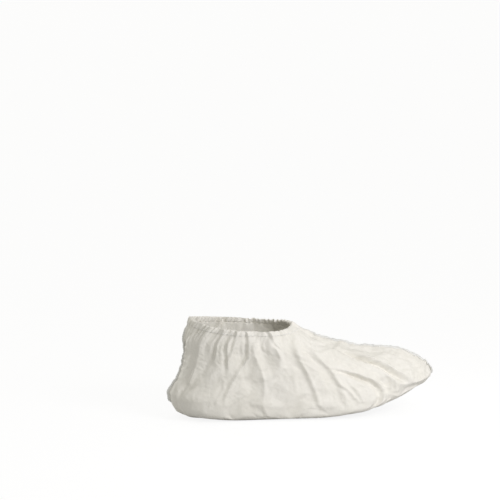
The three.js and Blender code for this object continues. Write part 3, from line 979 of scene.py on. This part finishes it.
def web_material(group, name, pale, deep, roughness, relief):
    """Bonded nonwoven between two close tones, with its facets and fibres as fine relief."""
    material, tree, n = new_material(
        name,
        web="ShaderNodeGroup",
        tone="ShaderNodeMapRange",
        mix="ShaderNodeMix",
        rough="ShaderNodeMapRange",
        bump="ShaderNodeBump",
    )
    n["web"].node_tree = group
    n["mix"].data_type = "RGBA"
    preset(
        n,
        ("tone", "From Min", TONE_LOW),
        ("tone", "From Max", TONE_HIGH),
        ("mix", "A", (*deep, 1)),
        ("mix", "B", (*pale, 1)),
        ("rough", "To Min", roughness + ROUGHNESS_SPREAD),
        ("rough", "To Max", roughness - ROUGHNESS_SPREAD),
        ("bump", "Strength", relief),
        ("bump", "Distance", FIBRE_RELIEF),
        ("shader", "Sheen Weight", SHEEN),
        ("shader", "Sheen Roughness", SHEEN_ROUGHNESS),
        ("shader", "Specular IOR Level", SPECULAR),
    )
    connect(
        tree,
        n,
        ("web", "Tone", "tone", "Value"),
        ("tone", "Result", "mix", "Factor"),
        ("mix", "Result", "shader", "Base Color"),
        ("web", "Fibre", "rough", "Value"),
        ("rough", "Result", "shader", "Roughness"),
        ("web", "Fibre", "bump", "Height"),
        ("web", "Facets", "bump", "Normal"),
        ("bump", "Normal", "shader", "Normal"),
    )
    return material


def thread_material(name, pale, deep, roughness):
    """Spun thread: fine mottling in tone and relief."""
    material, tree, n = new_material(
        name,
        place="ShaderNodeTexCoord",
        ply="ShaderNodeTexNoise",
        mix="ShaderNodeMix",
        bump="ShaderNodeBump",
    )
    n["mix"].data_type = "RGBA"
    preset(
        n,
        ("ply", "Scale", PLY_SCALE),
        ("ply", "Detail", PLY_DETAIL),
        ("mix", "A", (*deep, 1)),
        ("mix", "B", (*pale, 1)),
        ("bump", "Strength", PLY_STRENGTH),
        ("bump", "Distance", PLY_RELIEF),
        ("shader", "Roughness", roughness),
        ("shader", "Specular IOR Level", SPECULAR),
    )
    connect(
        tree,
        n,
        ("place", "Object", "ply", "Vector"),
        ("ply", "Fac", "mix", "Factor"),
        ("mix", "Result", "shader", "Base Color"),
        ("ply", "Fac", "bump", "Height"),
        ("bump", "Normal", "shader", "Normal"),
    )
    return material


def floor_material():
    """A pale floor that looks near white to the camera, with soft shadows, and lights the cover less."""
    material, tree, n = new_material(
        "pale_floor",
        path="ShaderNodeLightPath",
        seen="ShaderNodeMath",
        white="ShaderNodeEmission",
        mix="ShaderNodeMixShader",
    )
    n["seen"].operation = "MULTIPLY"
    preset(
        n,
        ("shader", "Base Color", (*FLOOR_COLOUR, 1)),
        ("shader", "Roughness", FLOOR_ROUGHNESS),
        ("seen", 1, FLOOR_WHITENING),
        ("white", "Strength", FLOOR_WHITE),
    )
    connect(
        tree,
        n,
        ("path", "Is Camera Ray", "seen", 0),
        ("seen", "Value", "mix", "Fac"),
        ("shader", "BSDF", "mix", 1),
        ("white", "Emission", "mix", 2),
        ("mix", "Shader", "output", "Surface"),
    )
    return material


# Stage


def make_stage():
    """A wide plain floor, a hair under the sole."""
    floor = bpy.data.meshes.new("floor")
    signs = ((-1, -1), (1, -1), (1, 1), (-1, 1))
    corners = [(x * FLOOR_REACH, y * FLOOR_REACH, -FLOOR_DROP) for x, y in signs]
    floor.from_pydata(corners, [], [(0, 1, 2, 3)])
    floor.materials.append(floor_material())
    plane = new_object("floor", floor)


def make_light():
    """A warm sky before a white backdrop, a near key on the toe's side and a wide fill from behind."""
    scene = bpy.context.scene
    world = bpy.data.worlds.new("studio")
    scene.world = world
    world.use_nodes = True
    tree = world.node_tree
    n = add_nodes(
        tree,
        backdrop="ShaderNodeBackground",
        choose="ShaderNodeMixShader",
        path="ShaderNodeLightPath",
    )
    n["sky"] = tree.nodes["Background"]
    n["output"] = tree.nodes["World Output"]
    preset(
        n,
        ("sky", "Color", (*SKY_COLOUR, 1)),
        ("sky", "Strength", SKY_STRENGTH),
        ("backdrop", "Color", (1, 1, 1, 1)),
    )
    connect(
        tree,
        n,
        ("path", "Is Camera Ray", "choose", "Fac"),
        ("sky", "Background", "choose", 1),
        ("backdrop", "Background", "choose", 2),
        ("choose", "Shader", "output", "Surface"),
    )
    lamp = bpy.data.lights.new("key", "AREA")
    lamp.color, lamp.energy, lamp.size = KEY_COLOUR, KEY_POWER, KEY_SIZE
    key = add_light("key", lamp, Vector(KEY_AIM) - Vector(KEY_PLACE))
    key.location = KEY_PLACE
    key.visible_camera = False
    lamp = bpy.data.lights.new("fill", "SUN")
    lamp.color, lamp.energy, lamp.angle = FILL_COLOUR, FILL_STRENGTH, FILL_ANGLE
    add_light("fill", lamp, Vector(FILL_TOWARDS))
    scene.view_settings.view_transform = "Standard"


def add_light(name, lamp, towards):
    light = new_object(name, lamp)
    light.rotation_euler = towards.to_track_quat("-Z", "Y").to_euler()
    return light


def make_camera():
    """Stands at the photograph's angle to the cover and turns, level, to set its origin in the frame."""
    back = Vector(
        (
            math.sin(CAMERA_AZIMUTH) * math.cos(CAMERA_ELEVATION),
            -math.cos(CAMERA_AZIMUTH) * math.cos(CAMERA_ELEVATION),
            math.sin(CAMERA_ELEVATION),
        )
    )
    focal = LENS / SENSOR * PHOTO_SIZE
    right = (ORIGIN_PIXEL[0] - PHOTO_SIZE / 2) / focal
    down = (ORIGIN_PIXEL[1] - PHOTO_SIZE / 2) / focal
    pitch = CAMERA_ELEVATION - math.atan(down)
    yaw = CAMERA_AZIMUTH
    for _ in range(AIM_ROUNDS):
        turn = Matrix.Rotation(yaw, 3, "Z") @ Matrix.Rotation(math.pi / 2 - pitch, 3, "X")
        seen = turn.transposed() @ -back
        yaw += right + seen.x / seen.z
        pitch += seen.y / seen.z - down
    data = bpy.data.cameras.new("camera")
    data.lens, data.sensor_width = LENS, SENSOR
    camera = new_object("camera", data)
    camera.matrix_world = Matrix.Translation(back * CAMERA_DISTANCE) @ turn.to_4x4()
    bpy.context.scene.camera = camera


def main():
    make_camera()
    make_stage()
    make_light()

    web = web_group()
    sheet_finish, hem_finish, edge_finish = (
        web_material(web, *finish) for finish in (SHEET_FINISH, HEM_FINISH, EDGE_FINISH)
    )
    thread_finish = thread_material(*THREAD_FINISH)

    wall = Wall(np.linspace(0, BODY_TOP_LEVEL, ROWS), HALF_COLUMNS)
    points = wrinkled(wall, settled(wall))
    sheet = make_sheet(points, sheet_finish)
    hem, hem_foot, hem_out = make_hem(hem_finish)

    stitches = stitch_tree()
    along = np.roll(hem_foot, -1, axis=0) - np.roll(hem_foot, 1, axis=0)
    values = stitch_values(
        HEM_STITCH_PITCH, HEM_THREAD, HEM_STITCH_START, HEM_STITCH_HANDLE, thread_finish
    )
    hem_stitches = make_stitches("hem_stitches", stitches, hem_foot, along, hem_out, True, values)
    pieces = {hem: ("elastic_hem", "hem"), hem_stitches: (None, "seam")}

    values = stitch_values(
        OVERLOCK_PITCH, OVERLOCK_THREAD, OVERLOCK_START, OVERLOCK_HANDLE, thread_finish
    )
    for seam in rows_of(SEAM_COLUMNS, SEAMS):
        rib, edge, tangent, out = make_seam(seam, wall, points, edge_finish)
        name = seam["name"] + "_overlock"
        overlock = make_stitches(name, stitches, edge, tangent, out, False, values)
        pieces[rib] = (seam["name"], "seam")
        pieces[overlock] = (None, "seam")

    pieces[sheet] = ("cover_body", "sheet")
    for piece, (node, slot) in pieces.items():
        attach(piece, "root")
        if node:
            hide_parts(node)


main()
